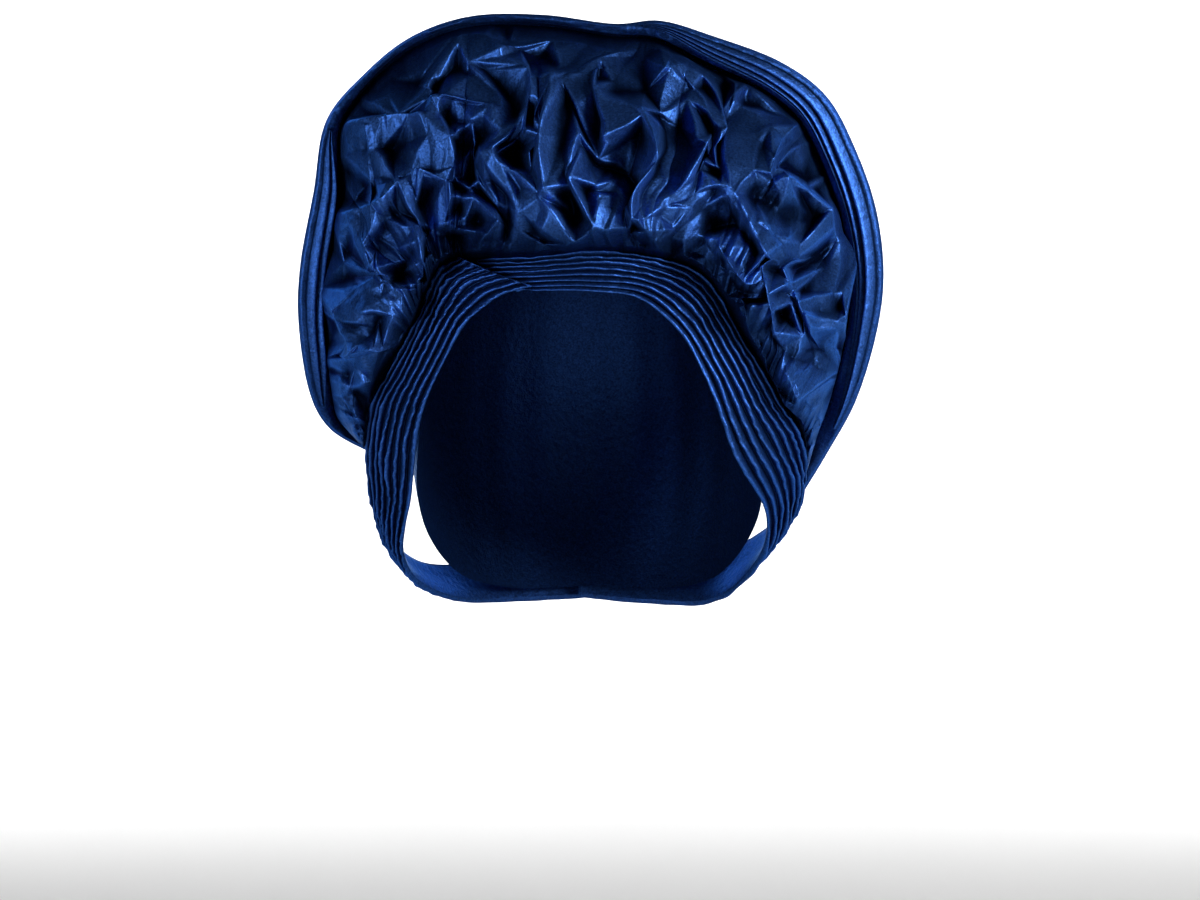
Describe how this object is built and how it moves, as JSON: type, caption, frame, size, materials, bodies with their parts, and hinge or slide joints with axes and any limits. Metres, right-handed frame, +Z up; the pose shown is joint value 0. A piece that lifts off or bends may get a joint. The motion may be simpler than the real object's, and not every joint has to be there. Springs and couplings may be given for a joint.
{
  "type": "pre-tied head tie",
  "caption": "Stiff cloth head tie worn like a hat: an open hood, two pleated wraps that cross on the forehead, and a tall rolled fan filled with crumpled ruffles.",
  "frame": {"origin": "where the top of the wearer's head touches the inside of the hood", "axes": "+Z up, and the open face side looks along -Y, so +X is to the right of someone who looks at the face"},
  "size_m": [0.2574, 0.2073, 0.2603],
  "materials": {
    "hood_cloth": "satin",
    "wrap_cloth": "satin",
    "fan_cloth": "satin",
    "rim_cloth": "satin",
    "ruffle_cloth": "satin"
  },
  "bodies": {
    "root": {"hood": "hood_cloth", "wrap_right": "wrap_cloth", "wrap_left": "wrap_cloth", "fan": "fan_cloth", "rim_pleat_left": "rim_cloth", "rim_pleats_right": "rim_cloth", "ruffle_lower_left": "ruffle_cloth", "ruffle_upper_left": "ruffle_cloth", "ruffle_centre": "ruffle_cloth", "ruffle_upper_right": "ruffle_cloth", "ruffle_lower_right": "ruffle_cloth"}
  },
  "joints": []
}
